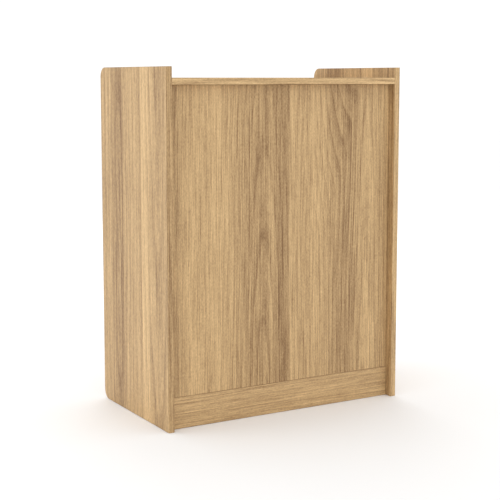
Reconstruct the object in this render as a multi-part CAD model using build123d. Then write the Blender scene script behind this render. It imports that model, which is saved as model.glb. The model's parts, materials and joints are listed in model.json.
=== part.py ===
"""Book drop box: a free-standing laminated cabinet with a push flap, two locking doors and a chute.

Units are millimetres. +Z is up, the doors and the book slot face -Y, and the plain back faces +Y. The origin
is on the floor, in the middle of the box that encloses the whole object, door pulls included.
"""
from build123d import *
import math
import os

# Cabinet
HEIGHT = 1000.0
WIDTH = 775.0
DEPTH = 437.0
BOARD = 18.0
TOP_BOARD = 19.0
TOP_DROP = 30.0
BACK_RECESS = 24.0
KICK_HEIGHT = 90.0
CORNER_RADIUS = 28.5
EDGE_RADIUS = 1.0
FACE_SETBACK = 8.0
TOE_SETBACK = 30.0

# Doors, hinges and pulls
DOOR_GAP = 3.0
DOOR_TOP = 697.0
HINGE_INSET = 90.0
HINGE_SCREW_STEP = 22.0
HINGE_LENGTH = 64.0
HINGE_KNUCKLES = 5
HINGE_GAP = 0.3
LEAF = 1.2
LEAF_DEPTH = 16.4
LEAF_START = 3.6
DOOR_NECK_START = 2.3
BARREL_RADIUS = 3.0
PIN_RADIUS = 1.5
PIN_HEAD_RADIUS = 2.6
PIN_HEAD = 1.8
PIN_FOOT = 1.2
PIN_BEYOND_DOOR = 0.5
PIN_STANDOFF = 3.4
RUNNING_CLEARANCE = 0.05
PULL_SPACING = 96.0
PULL_PROJECTION = 28.0
PULL_WIRE_RADIUS = 4.0
PULL_BEND_RADIUS = 12.0
PULL_X = 30.0
PULL_Z = 570.0
PULL_SCREW_GRIP = 9.0

# Book slot and push flap
SLOT_WIDTH = 400.0
SLOT_HEIGHT = 110.0
SLOT_Z = 836.0
CUTOUT_MARGIN = 16.0
CUTOUT_SILL = 9.0
CUTOUT_HEAD = 17.0
CUTOUT_CORNER = 6.0
BEZEL_LAP = 16.0
BEZEL_CORNER = 8.0
BEZEL_RIM = 0.8
WINDOW_CORNER = 5.0
EAR_HALF = 6.0
PLATE = 2.0
FLAP_LAP = 6.0
FLAP_GAP = 1.0
FLAP_CORNER = 4.0
BUMPER_X = 150.0
BUMPER_RADIUS = 2.6
BUMPER_HEIGHT = 0.7
ROD_RADIUS = 3.0
SLEEVE_RADIUS = 5.0
WASHER_GAP = 0.4
CAP_LENGTH = 1.8
ROD_ABOVE_SLOT = 9.0

# Chute and landing pad
CHUTE_SLOPE = 38.0
CHUTE_LENGTH = 180.0
CHUTE_BOARD = 12.0
CHUTE_BELOW_SLOT = 13.0
CHUTE_SIDE_GAP = 1.0
CHUTE_SCREW_INSET = 20.0
FELT = 3.0
CLEAT = 18.0
CLEAT_HEIGHT = 25.0
CLEAT_START = 80.0
CLEAT_END = 172.0
CLEAT_SCREW_INSET = 34.0
CLEAT_SCREW_DEPTH = 15.5
PAD_HEIGHT = 50.0
PAD_FRONT_GAP = 20.0
PAD_BACK_GAP = 6.0
PAD_SIDE_GAP = 7.5
PAD_EDGE_RADIUS = 12.0

# Lock rail, lock, bolt and catches
LOCK_RAIL_DEPTH = 36.0
LOCK_X = 30.0
LOCK_BELOW_DOOR_TOP = 25.0
LOCK_RADIUS = 9.0
LOCK_FLANGE_RADIUS = 12.0
LOCK_FLANGE = 2.5
LOCK_TAIL = 3.5
PLUG_RADIUS = 6.0
LOCK_NUT_RADIUS = 14.0
LOCK_NUT = 3.0
DRIVE_SQUARE = 7.0
KEYWAY = 2.4
KEYWAY_WIDTH = 9.0
KEY = 2.0
KEY_HALF = 4.0
KEY_DEPTH = 15.0
KEY_NECK = 7.0
KEY_CUTS = (3.0, 6.5, 10.0)
KEY_CUT_SIZE = 2.0
KEY_BOW_RADIUS = 9.5
CAM_REACH = 40.0
CAM_WIDTH = 14.0
CAM_CORNER = 4.2
CAM_CLEARANCE = 0.4
NOTCH_LENGTH = 50.0
NOTCH_DEPTH = 16.0
KEEPER = 3.0
KEEPER_LENGTH = 34.0
BOLT_X = -22.0
BOLT_ROD_RADIUS = 3.0
BOLT_ROD_LENGTH = 74.0
BOLT_STANDOFF = 7.5
BOLT_BASE = 1.5
BOLT_BASE_HALF = 13.0
BOLT_BASE_CORNER = 2.0
BOLT_BASE_Z = (626.0, 690.0)
BOLT_SCREW_INSET = (3.2, 5.0)
GUIDE_LENGTH = 9.0
GUIDE_HALF = 6.5
GUIDE_LOW_INSET = 12.0
GUIDE_HIGH_INSET = 2.0
KNOB_RADIUS = 2.5
KNOB_LENGTH = 10.0
KNOB_CAP_RADIUS = 3.5
KNOB_CAP = 4.0
KNOB_ABOVE_GUIDE = 4.0
BOLT_STRIKE = 1.2
BOLT_STRIKE_HALF = 18.0
BOLT_STRIKE_DEPTH = 21.0
BOLT_STRIKE_SCREW_STEP = 13.0
CATCH_X = 120.0
CATCH_LENGTH = 46.0
CATCH_DEPTH = 14.0
CATCH_HEIGHT = 13.0
CATCH_GAP = 0.5
CATCH_CORNER = 2.0
CATCH_SCREW_STEP = 18.0
MAGNET_HALF = 13.0
MAGNET_DEPTH = 4.5
MAGNET_PROUD = 0.3
MAGNET_WALL = 2.0
STRIKE = 1.0
STRIKE_HALF = 16.0
STRIKE_HEIGHT = 10.0
STRIKE_CORNER = 1.5
STRIKE_SCREW_STEP = 11.0
STOP_X = 60.0
STOP_HALF = 9.0
STOP_SIZE = 12.0
STOP_EDGE = 1.5
STOP_GAP = 0.6

# Knock-down fittings
DOWEL_RADIUS = 4.0
DOWEL_IN_SIDE = 12.0
DOWEL_IN_BOARD = 20.0
DOWEL_OFFSET = 24.0
CONNECTOR_RADIUS = 2.5
CONNECTOR_IN_SIDE = 11.0
CONNECTOR_REACH = 34.0
CONNECTOR_IN_DISC = 3.0
DISC_RADIUS = 7.5
DISC_HEIGHT = 12.5
DISC_SLOT = (9.0, 2.0)
TOP_JOINTS_Y = (-140.0, 150.0)
BOTTOM_JOINTS_Y = (-130.0, 120.0)
BACK_JOINTS_Z = (180.0, 520.0, 860.0)
FASCIA_JOINTS_Z = (760.0, 901.0)
RAIL_DOWEL_OFFSET = 11.0

# Screw sizes: head radius, head height, shank radius, length under the surface
HINGE_SCREW = (2.7, 1.35, 1.5, 14.0)
WOOD_SCREW = (3.6, 2.4, 1.9, 24.0)
STRIKE_SCREW = (2.2, 0.9, 1.3, 12.0)
BEZEL_SCREW = (3.4, 1.7, 1.6, 15.0)
BOLT_SCREW = (2.9, 1.3, 1.4, 12.0)
CATCH_SCREW = (3.0, 1.5, 1.5, 25.0)
CLEAT_SCREW = (3.6, 2.4, 1.9, CLEAT + 12.0)
PULL_SCREW = (4.0, 2.4, 2.0, BOARD + PULL_SCREW_GRIP)
CAM_SCREW = (4.5, 1.8, 1.5, 8.0)

# Planes and levels worked out from the driving dimensions
OVERHANG = PULL_PROJECTION - FACE_SETBACK
FRONT_Y = OVERHANG - (DEPTH + OVERHANG) / 2
BACK_Y = FRONT_Y + DEPTH
FACE_Y = FRONT_Y + FACE_SETBACK
FACE_BACK_Y = FACE_Y + BOARD
BACK_FACE_Y = BACK_Y - BACK_RECESS
BACK_INNER_Y = BACK_FACE_Y - BOARD
OUTER_X = WIDTH / 2
INNER_X = OUTER_X - BOARD
TOP_Z = HEIGHT - TOP_DROP
TOP_UNDER = TOP_Z - TOP_BOARD
DECK_UNDER = KICK_HEIGHT - BOARD
FASCIA_LOW = DOOR_TOP + DOOR_GAP
DOOR_LOW = KICK_HEIGHT + DOOR_GAP
DOOR_EDGE = INNER_X - DOOR_GAP
SLOT_LOW = SLOT_Z - SLOT_HEIGHT / 2
SLOT_HIGH = SLOT_Z + SLOT_HEIGHT / 2
CUTOUT_X = SLOT_WIDTH / 2 + CUTOUT_MARGIN
CUTOUT_LOW = SLOT_LOW - CUTOUT_SILL
CUTOUT_HIGH = SLOT_HIGH + CUTOUT_HEAD
ROD_Y = FACE_Y + FLAP_GAP + SLEEVE_RADIUS
ROD_Z = SLOT_HIGH + ROD_ABOVE_SLOT
LOCK_Z = DOOR_TOP - LOCK_BELOW_DOOR_TOP
BOLT_HOLE_RADIUS = BOLT_ROD_RADIUS + 1.0
PAD_TOP = KICK_HEIGHT + PAD_HEIGHT

# The hinge pin stands in front of the door and clear of the side panel; the leaves lie in the door gap.
PIN_X = DOOR_EDGE - PIN_BEYOND_DOOR
PIN_Y = FACE_Y - PIN_STANDOFF

RIGHT = 1
LEFT = -1
UP = (0, 0, 1)
DOWN = (0, 0, -1)
BACKWARD = (0, 1, 0)
FORWARD = (0, -1, 0)
RIGHTWARD = (1, 0, 0)
LEFTWARD = (-1, 0, 0)
BASE = (Align.CENTER, Align.CENTER, Align.MIN)
BEYOND = 1.0
RECESS_DEPTH = 0.6


def block(x, y, z):
    """A box given by its low and high values on each axis."""
    spans = (x, y, z)
    centre = [(low + high) / 2 for low, high in spans]
    size = [high - low for low, high in spans]
    return Pos(*centre) * Box(*size)


def board(x, y, z):
    """A laminated board with softened edges."""
    return fillet(block(x, y, z).edges(), EDGE_RADIUS)


def rod(start, direction, radius, length):
    """A cylinder that runs from a start point along a direction."""
    return Plane(origin=start, z_dir=direction) * Cylinder(radius, length, align=BASE)


def plate_xz(x, y, z, corner):
    """An upright plate facing the front, with rounded corners."""
    plate = block(x, y, z)
    return fillet(plate.edges().filter_by(Axis.Y), corner)


def profile_yz(points, x):
    """A prism with a side profile of (y, z) points, between two x values."""
    face = Plane.YZ * Polygon(*points, align=None)
    return Pos(x[0], 0, 0) * extrude(face, amount=x[1] - x[0], dir=(1, 0, 0))


def cross_recess(width, depth):
    """The cross-shaped driver recess of a screw head, cut down from z = 0."""
    bar = Box(width, width / 4, depth, align=BASE)
    return Pos(0, 0, -depth) * (bar + Rot(0, 0, 90) * bar)


def countersunk(at, into, size):
    """Plain form of a countersunk screw with its head flush at a point, and the finished screw."""
    head_radius, head_height, shank_radius, length = size
    plane = Plane(origin=at, z_dir=into)
    head = Cone(head_radius, shank_radius, head_height, align=BASE)
    form = plane * (head + Cylinder(shank_radius, length, align=BASE))
    recess = Plane(origin=at, z_dir=-Vector(into)) * cross_recess(head_radius, head_height * RECESS_DEPTH)
    return form, form - recess


def pan_head(at, into, size):
    """Plain form of a pan-head screw whose head stands on a point, and the finished screw."""
    head_radius, head_height, shank_radius, length = size
    outward = Plane(origin=at, z_dir=-Vector(into))
    head = Cylinder(head_radius, head_height, align=BASE)
    head = fillet(head.edges().group_by(Axis.Z)[-1], head_height * RECESS_DEPTH)
    shank = rod(at, into, shank_radius, length)
    form = outward * head + shank
    recess = outward * Pos(0, 0, head_height) * cross_recess(head_radius, head_height * RECESS_DEPTH)
    return form, form - recess


def screws(kind, points, into, size):
    """Plain forms, for drilling the pieces, and finished screws for a list of points."""
    pairs = [kind(point, into, size) for point in points]
    forms = [form for form, _ in pairs]
    finished = [screw for _, screw in pairs]
    return forms, finished


def end_joints(points, along, face, thickness=BOARD, offset=DOWEL_OFFSET):
    """Connector bolts, discs and dowels that join both ends of a board to the side panels.

    points are (y, z) pairs at the middle of the board's thickness, along is the direction in which a dowel
    stands on each side of the bolt, and face points to the hidden face that the disc is let into.
    """
    bolts = []
    discs = []
    dowels = []
    for side in (RIGHT, LEFT):
        inward = Vector(-side, 0, 0)
        for y, z in points:
            joint = Vector(side * INNER_X, y, z)
            bolt_start = joint - inward * CONNECTOR_IN_SIDE
            bolt_length = CONNECTOR_IN_SIDE + CONNECTOR_REACH - DISC_RADIUS + CONNECTOR_IN_DISC
            bolt = rod(bolt_start, inward, CONNECTOR_RADIUS, bolt_length)
            bolts.append(bolt)
            disc_face = joint + inward * CONNECTOR_REACH + Vector(face) * thickness / 2
            discs.append(rod(disc_face, -Vector(face), DISC_RADIUS, DISC_HEIGHT) - bolt)
            for step in (-offset, offset):
                start = joint + Vector(along) * step - inward * DOWEL_IN_SIDE
                dowels.append(rod(start, inward, DOWEL_RADIUS, DOWEL_IN_SIDE + DOWEL_IN_BOARD))
    return bolts, discs, dowels


def slotted_disc(disc, face):
    """A connector disc with the cross slot that turns it."""
    centre = disc.faces().sort_by(Axis(origin=(0, 0, 0), direction=face))[-1].center()
    return disc - Plane(origin=centre, z_dir=face) * cross_recess(*DISC_SLOT)


nodes = {}


def keep(name, *solids):
    """Store solids under the name of their piece, or add them to its group of like pieces."""
    nodes.setdefault(name, []).extend(solids)


# ---- Casework -----------------------------------------------------------------------------------------------

KICK_Y = FACE_Y + TOE_SETBACK
FASCIA_MID_Y = FACE_Y + BOARD / 2
BACK_MID_Y = BACK_FACE_Y - BOARD / 2
KICK_MID_Y = KICK_Y + BOARD / 2
RAIL_BACK_Y = FACE_BACK_Y + LOCK_RAIL_DEPTH
RAIL_TOP = FASCIA_LOW + BOARD
TOP_MID = TOP_Z - TOP_BOARD / 2
BOTTOM_MID = KICK_HEIGHT - BOARD / 2
RAIL_MID = (FACE_BACK_Y + LOCK_RAIL_DEPTH / 2, RAIL_TOP - BOARD / 2)

JOINTS = {
    "top_panel": end_joints([(y, TOP_MID) for y in TOP_JOINTS_Y], BACKWARD, DOWN, TOP_BOARD),
    "bottom_panel": end_joints([(y, BOTTOM_MID) for y in BOTTOM_JOINTS_Y], BACKWARD, DOWN),
    "fascia_panel": end_joints([(FASCIA_MID_Y, z) for z in FASCIA_JOINTS_Z], UP, BACKWARD),
    "back_panel": end_joints([(BACK_MID_Y, z) for z in BACK_JOINTS_Z], UP, FORWARD),
    "back_kick_rail": end_joints([(BACK_MID_Y, KICK_HEIGHT / 2)], UP, FORWARD),
    "front_kick_rail": end_joints([(KICK_MID_Y, DECK_UNDER / 2)], UP, BACKWARD),
    "lock_rail": end_joints([RAIL_MID], BACKWARD, UP, offset=RAIL_DOWEL_OFFSET),
}
DISC_FACE = {
    "top_panel": DOWN,
    "bottom_panel": DOWN,
    "fascia_panel": BACKWARD,
    "back_panel": FORWARD,
    "back_kick_rail": FORWARD,
    "front_kick_rail": BACKWARD,
    "lock_rail": UP,
}


def drilled(name, shape):
    """A board with the holes for its own bolts, discs and dowels."""
    bolts, discs, dowels = JOINTS[name]
    return shape - bolts - discs - dowels


def side_panel(side, hinge_screw_forms, cleat_screw_forms):
    """One side panel: square at the back, with rounded front corners at the top and at the foot."""
    panel = block((INNER_X, OUTER_X), (FRONT_Y, BACK_Y), (0, HEIGHT))
    front_corners = panel.edges().filter_by(Axis.X).group_by(Axis.Y)[0]
    panel = fillet(front_corners, CORNER_RADIUS)
    outline = panel.faces().sort_by(Axis.X)[-1].edges() + panel.faces().sort_by(Axis.X)[0].edges()
    panel = fillet(outline, EDGE_RADIUS)
    if side == LEFT:
        panel = mirror(panel, about=Plane.YZ)
    for bolts, _, dowels in JOINTS.values():
        panel = panel - bolts - dowels
    return panel - hinge_screw_forms - cleat_screw_forms


def fascia():
    """The panel over the doors, with the cut-out of the book slot."""
    panel = board((-INNER_X, INNER_X), (FACE_Y, FACE_BACK_Y), (FASCIA_LOW, TOP_UNDER))
    through = (FACE_Y - BEYOND, FACE_BACK_Y + BEYOND)
    cutout = plate_xz((-CUTOUT_X, CUTOUT_X), through, (CUTOUT_LOW, CUTOUT_HIGH), CUTOUT_CORNER)
    return drilled("fascia_panel", panel - cutout)


def lock_rail():
    """The flat rail over the doors, notched for the lock cam and bored for the door bolt."""
    rail = board((-INNER_X, INNER_X), (FACE_BACK_Y, RAIL_BACK_Y), (FASCIA_LOW, RAIL_TOP))
    notch_x = (LOCK_X - CAM_WIDTH, LOCK_X - CAM_WIDTH + NOTCH_LENGTH)
    notch_y = (FACE_BACK_Y - BEYOND, FACE_BACK_Y + NOTCH_DEPTH)
    notch = block(notch_x, notch_y, (FASCIA_LOW - BEYOND, RAIL_TOP + BEYOND))
    hole_start = (BOLT_X, FACE_BACK_Y + BOLT_STANDOFF, FASCIA_LOW - BEYOND)
    bolt_hole = rod(hole_start, UP, BOLT_HOLE_RADIUS, BOARD + 2 * BEYOND)
    return drilled("lock_rail", rail - notch - bolt_hole)


# ---- Chute and landing pad ----------------------------------------------------------------------------------

SLOPE = math.radians(CHUTE_SLOPE)
CHUTE_Z = SLOT_LOW - CHUTE_BELOW_SLOT


def chute_point(along, below):
    """The (y, z) point at a distance down the slope and a depth below the felt's surface."""
    y = FACE_BACK_Y + along * math.cos(SLOPE) - below * math.sin(SLOPE)
    z = CHUTE_Z - along * math.sin(SLOPE) - below * math.cos(SLOPE)
    return y, z


def chute_layer(top, bottom, half_width):
    """A sloping layer of the chute between two depths, cut upright where it bears on the fascia."""
    points = [
        (FACE_BACK_Y, CHUTE_Z - top / math.cos(SLOPE)),
        chute_point(CHUTE_LENGTH, top),
        chute_point(CHUTE_LENGTH, bottom),
        (FACE_BACK_Y, CHUTE_Z - bottom / math.cos(SLOPE)),
    ]
    return profile_yz(points, (-half_width, half_width))


CHUTE_BOTTOM = FELT + CHUTE_BOARD
CHUTE_DOWN = (0, -math.sin(SLOPE), -math.cos(SLOPE))


def cleat(side):
    """A sloping batten on a side panel, under one end of the chute."""
    points = [
        chute_point(CLEAT_START, CHUTE_BOTTOM),
        chute_point(CLEAT_END, CHUTE_BOTTOM),
        chute_point(CLEAT_END, CHUTE_BOTTOM + CLEAT_HEIGHT),
        chute_point(CLEAT_START, CHUTE_BOTTOM + CLEAT_HEIGHT),
    ]
    span = (INNER_X - CLEAT, INNER_X)
    batten = profile_yz(points, span)
    return batten if side == RIGHT else mirror(batten, about=Plane.YZ)


CHUTE_SCREWS_ALONG = (CLEAT_START + CHUTE_SCREW_INSET, CLEAT_END - CHUTE_SCREW_INSET)
CLEAT_SCREWS_ALONG = (CLEAT_START + CLEAT_SCREW_INSET, CLEAT_END - CLEAT_SCREW_INSET)


def chute_screw_points(below):
    """Screw positions near the chute's corners, over the cleats."""
    places = [(side, along) for side in (RIGHT, LEFT) for along in CHUTE_SCREWS_ALONG]
    return [(side * (INNER_X - CLEAT / 2), *chute_point(along, below)) for side, along in places]


def cleat_screw_points(side):
    """Screw positions on the inner face of one cleat."""
    depth = CHUTE_BOTTOM + CLEAT_SCREW_DEPTH
    return [(side * (INNER_X - CLEAT), *chute_point(along, depth)) for along in CLEAT_SCREWS_ALONG]


# ---- Hinges ------------------------------------------------------------------------------------------------

HINGE_CENTRES = (DOOR_LOW + HINGE_INSET, DOOR_TOP - HINGE_INSET)
KNUCKLE = (HINGE_LENGTH - (HINGE_KNUCKLES - 1) * HINGE_GAP) / HINGE_KNUCKLES
NECK_OVERLAP = 0.1


def hinge_leaf(centre_z, outer_x, knuckles, neck_start):
    """One leaf of the right-hand hinge: its plate, its knuckles and the necks between them.

    outer_x is how far the plate's outer face stands beyond the pin, towards the side panel.
    """
    low = centre_z - HINGE_LENGTH / 2
    plate_x = (PIN_X + outer_x - LEAF, PIN_X + outer_x)
    plate_y = (PIN_Y + LEAF_START, PIN_Y + LEAF_START + LEAF_DEPTH)
    leaf = block(plate_x, plate_y, (low, low + HINGE_LENGTH))
    for index in knuckles:
        start = low + index * (KNUCKLE + HINGE_GAP)
        leaf += rod((PIN_X, PIN_Y, start), UP, BARREL_RADIUS, KNUCKLE)
        leaf += block(plate_x, (PIN_Y + neck_start, PIN_Y + LEAF_START + NECK_OVERLAP), (start, start + KNUCKLE))
    bore_radius = PIN_RADIUS + RUNNING_CLEARANCE
    return leaf - rod((PIN_X, PIN_Y, low - BEYOND), UP, bore_radius, HINGE_LENGTH + 2 * BEYOND)


def frame_leaf(centre_z):
    """The leaf that lies on the side panel, with the odd knuckles."""
    return hinge_leaf(centre_z, INNER_X - PIN_X, (0, 2, 4), 0.0)


def door_leaf(centre_z):
    """The leaf that lies on the door's edge, with the even knuckles."""
    return hinge_leaf(centre_z, DOOR_EDGE + LEAF - PIN_X, (1, 3), DOOR_NECK_START)


def hinge_pin(centre_z):
    """The loose pin, headed at both ends."""
    low = centre_z - HINGE_LENGTH / 2
    pin = rod((PIN_X, PIN_Y, low), UP, PIN_RADIUS, HINGE_LENGTH)
    foot = rod((PIN_X, PIN_Y, low), DOWN, PIN_HEAD_RADIUS, PIN_FOOT)
    head = rod((PIN_X, PIN_Y, low + HINGE_LENGTH), UP, PIN_HEAD_RADIUS, PIN_HEAD)
    head = fillet(head.edges().group_by(Axis.Z)[-1], PIN_HEAD * 2 / 3)
    return pin + foot + head


def hinge_screw_points(x):
    """Screw positions on all the hinge plates that face the same way at one x."""
    y = PIN_Y + LEAF_START + LEAF_DEPTH / 2
    steps = (-HINGE_SCREW_STEP, 0, HINGE_SCREW_STEP)
    return [(x, y, centre + step) for centre in HINGE_CENTRES for step in steps]


def mirrored(shapes):
    """The same shapes for the other side of the cabinet."""
    return [mirror(shape, about=Plane.YZ) for shape in shapes]


# ---- Doors and pulls ----------------------------------------------------------------------------------------

HALF_PULL = PULL_SPACING / 2
PULL_AXIS_OUT = PULL_PROJECTION - PULL_WIRE_RADIUS


def pull():
    """The bent wire pull of the right door, bored at both ends for its screws."""
    y = (FACE_Y, FACE_Y - PULL_AXIS_OUT)
    low = PULL_Z - HALF_PULL
    high = PULL_Z + HALF_PULL
    points = [(PULL_X, y[0], low), (PULL_X, y[1], low), (PULL_X, y[1], high), (PULL_X, y[0], high)]
    path = FilletPolyline(*points, radius=PULL_BEND_RADIUS)
    section = Plane(origin=points[0], z_dir=FORWARD) * Circle(PULL_WIRE_RADIUS)
    bow = sweep(section, path=path)
    bores = [rod((PULL_X, FACE_Y, z), FORWARD, PULL_SCREW[2], PULL_SCREW_GRIP) for z in (low, high)]
    return bow - bores


def pull_screw_points():
    """The pull screws' heads stand on the door's inner face."""
    return [(PULL_X, FACE_BACK_Y, PULL_Z + step) for step in (-HALF_PULL, HALF_PULL)]


def door_board():
    """The right door's plain board."""
    return board((DOOR_GAP / 2, DOOR_EDGE), (FACE_Y, FACE_BACK_Y), (DOOR_LOW, DOOR_TOP))


# ---- Lock ---------------------------------------------------------------------------------------------------

LOCK_FRONT_Y = FACE_Y - LOCK_FLANGE
LOCK_END_Y = FACE_BACK_Y + LOCK_TAIL
CAM_Y = (LOCK_END_Y + CAM_CLEARANCE, LOCK_END_Y + CAM_CLEARANCE + PLATE)
FLANGE_EDGE = 1.0


def lock_body():
    """The lock's flanged housing, through the door."""
    flange = rod((LOCK_X, FACE_Y, LOCK_Z), FORWARD, LOCK_FLANGE_RADIUS, LOCK_FLANGE)
    flange = fillet(flange.edges().group_by(Axis.Y)[0], FLANGE_EDGE)
    barrel = rod((LOCK_X, FACE_Y, LOCK_Z), BACKWARD, LOCK_RADIUS, LOCK_END_Y - FACE_Y)
    length = LOCK_END_Y - LOCK_FRONT_Y + 2 * BEYOND
    bore = rod((LOCK_X, LOCK_FRONT_Y - BEYOND, LOCK_Z), BACKWARD, PLUG_RADIUS + RUNNING_CLEARANCE, length)
    return flange + barrel - bore


def lock_nut():
    """The hexagon nut that clamps the housing to the door's inner face."""
    plane = Plane(origin=(LOCK_X, FACE_BACK_Y, LOCK_Z), z_dir=BACKWARD)
    hexagon = extrude(plane * RegularPolygon(LOCK_NUT_RADIUS, 6), amount=LOCK_NUT)
    hole = rod((LOCK_X, FACE_BACK_Y - BEYOND, LOCK_Z), BACKWARD, LOCK_RADIUS, LOCK_NUT + 2 * BEYOND)
    return hexagon - hole


def lock_plug():
    """The turning plug: keyway in front, square drive and screw hole behind."""
    plug = rod((LOCK_X, LOCK_FRONT_Y, LOCK_Z), BACKWARD, PLUG_RADIUS, CAM_Y[0] - LOCK_FRONT_Y)
    half = DRIVE_SQUARE / 2
    drive_y = (CAM_Y[0] - BEYOND, CAM_Y[1])
    drive = block((LOCK_X - half, LOCK_X + half), drive_y, (LOCK_Z - half, LOCK_Z + half))
    keyway_x = (LOCK_X - KEYWAY_WIDTH / 2, LOCK_X + KEYWAY_WIDTH / 2)
    keyway_z = (LOCK_Z - KEYWAY / 2, LOCK_Z + KEYWAY / 2)
    keyway = block(keyway_x, (LOCK_FRONT_Y - BEYOND, LOCK_FRONT_Y + KEY_DEPTH + BEYOND), keyway_z)
    screw_hole = rod((LOCK_X, CAM_Y[1], LOCK_Z), FORWARD, CAM_SCREW[2], CAM_SCREW[3])
    return plug + drive - keyway - screw_hole


def lock_cam():
    """The cam, lying level in the unlocked position."""
    half = CAM_WIDTH / 2
    cam = block((LOCK_X - half, LOCK_X + CAM_REACH), CAM_Y, (LOCK_Z - half, LOCK_Z + half))
    cam = fillet(cam.edges().filter_by(Axis.Y), CAM_CORNER)
    square = DRIVE_SQUARE / 2
    hole_y = (CAM_Y[0] - BEYOND, CAM_Y[1] + BEYOND)
    hole = block((LOCK_X - square, LOCK_X + square), hole_y, (LOCK_Z - square, LOCK_Z + square))
    return cam - hole


def lock_key():
    """The key, lying level in the keyway, with a round bow."""
    blade_z = (LOCK_Z - KEY / 2, LOCK_Z + KEY / 2)
    blade_y = (LOCK_FRONT_Y - KEY_NECK, LOCK_FRONT_Y + KEY_DEPTH)
    blade = block((LOCK_X - KEY_HALF, LOCK_X + KEY_HALF), blade_y, blade_z)
    cut_x = (LOCK_X - KEY_HALF - BEYOND, LOCK_X - KEY_HALF + KEY_CUT_SIZE * 0.7)
    for step in KEY_CUTS:
        cut_y = LOCK_FRONT_Y + step
        blade -= block(cut_x, (cut_y, cut_y + KEY_CUT_SIZE), (LOCK_Z - KEY, LOCK_Z + KEY))
    bow_y = LOCK_FRONT_Y - KEY_NECK + 1 - KEY_BOW_RADIUS
    bow = rod((LOCK_X, bow_y, LOCK_Z - KEY / 2), UP, KEY_BOW_RADIUS, KEY)
    ring_hole = rod((LOCK_X, bow_y - KEY_BOW_RADIUS / 2, LOCK_Z - KEY), UP, KEY_BOW_RADIUS / 4, 2 * KEY)
    return blade + bow - ring_hole


def lock_keeper():
    """The wear plate behind the fascia's lower edge, which the turned-up cam catches."""
    start = LOCK_X - CAM_WIDTH + 2
    z = (FASCIA_LOW + EDGE_RADIUS, RAIL_TOP - EDGE_RADIUS)
    return block((start, start + KEEPER_LENGTH), (FACE_BACK_Y, FACE_BACK_Y + KEEPER), z)


# ---- Door bolt ----------------------------------------------------------------------------------------------

BOLT_Y = FACE_BACK_Y + BOLT_STANDOFF
BOLT_TIP_Z = DOOR_TOP - 3.0
TIP_CHAMFER = 0.8


def bolt_housing():
    """The base plate with two guides that the rod slides in."""
    low, high = BOLT_BASE_Z
    base_x = (BOLT_X - BOLT_BASE_HALF, BOLT_X + BOLT_BASE_HALF)
    base = plate_xz(base_x, (FACE_BACK_Y, FACE_BACK_Y + BOLT_BASE), (low, high), BOLT_BASE_CORNER)
    guide_y = (FACE_BACK_Y + BOLT_BASE / 2, BOLT_Y + GUIDE_HALF)
    for start in (low + GUIDE_LOW_INSET, high - GUIDE_HIGH_INSET - GUIDE_LENGTH):
        base += block((BOLT_X - GUIDE_HALF, BOLT_X + GUIDE_HALF), guide_y, (start, start + GUIDE_LENGTH))
    bore_radius = BOLT_ROD_RADIUS + RUNNING_CLEARANCE
    return base - rod((BOLT_X, BOLT_Y, low - BEYOND), UP, bore_radius, high - low + 2 * BEYOND)


def bolt_rod():
    """The sliding rod with its thumb knob, in the withdrawn position."""
    shaft = rod((BOLT_X, BOLT_Y, BOLT_TIP_Z - BOLT_ROD_LENGTH), UP, BOLT_ROD_RADIUS, BOLT_ROD_LENGTH)
    shaft = chamfer(shaft.edges().group_by(Axis.Z)[-1], TIP_CHAMFER)
    knob_z = BOLT_BASE_Z[0] + GUIDE_LOW_INSET + GUIDE_LENGTH + KNOB_ABOVE_GUIDE
    knob = rod((BOLT_X, BOLT_Y, knob_z), BACKWARD, KNOB_RADIUS, KNOB_LENGTH)
    cap = rod((BOLT_X, BOLT_Y + KNOB_LENGTH - BEYOND, knob_z), BACKWARD, KNOB_CAP_RADIUS, KNOB_CAP)
    cap = fillet(cap.edges(), TIP_CHAMFER)
    return shaft + knob + cap


def bolt_screw_points():
    """The four screws of the base plate, in the strips beside the guides."""
    low, high = BOLT_BASE_Z
    side_inset, end_inset = BOLT_SCREW_INSET
    step = BOLT_BASE_HALF - side_inset
    levels = (low + end_inset, high - end_inset)
    return [(BOLT_X + dx, FACE_BACK_Y + BOLT_BASE, z) for dx in (-step, step) for z in levels]


def bolt_strike():
    """The plate under the lock rail with the hole that the rod enters."""
    x = (BOLT_X - BOLT_STRIKE_HALF, BOLT_X + BOLT_STRIKE_HALF)
    y = (FACE_BACK_Y + EDGE_RADIUS, FACE_BACK_Y + EDGE_RADIUS + BOLT_STRIKE_DEPTH)
    plate = block(x, y, (FASCIA_LOW - BOLT_STRIKE, FASCIA_LOW))
    start = (BOLT_X, BOLT_Y, FASCIA_LOW - BOLT_STRIKE - BEYOND)
    return plate - rod(start, UP, BOLT_HOLE_RADIUS, BOLT_STRIKE + 2 * BEYOND)


def bolt_strike_screw_points():
    """The two screws of the strike plate, driven up into the rail."""
    y = FACE_BACK_Y + EDGE_RADIUS + BOLT_STRIKE_DEPTH / 2
    steps = (-BOLT_STRIKE_SCREW_STEP, BOLT_STRIKE_SCREW_STEP)
    return [(BOLT_X + dx, y, FASCIA_LOW - BOLT_STRIKE) for dx in steps]


# ---- Magnetic catches and door stops --------------------------------------------------------------------

MAGNET_Y = FACE_BACK_Y + STRIKE + CATCH_GAP


def catch_magnet():
    """The magnet block, let into the front of its case."""
    z = (FASCIA_LOW - CATCH_HEIGHT + MAGNET_WALL, FASCIA_LOW - MAGNET_WALL)
    return block((CATCH_X - MAGNET_HALF, CATCH_X + MAGNET_HALF), (MAGNET_Y, MAGNET_Y + MAGNET_DEPTH), z)


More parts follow.
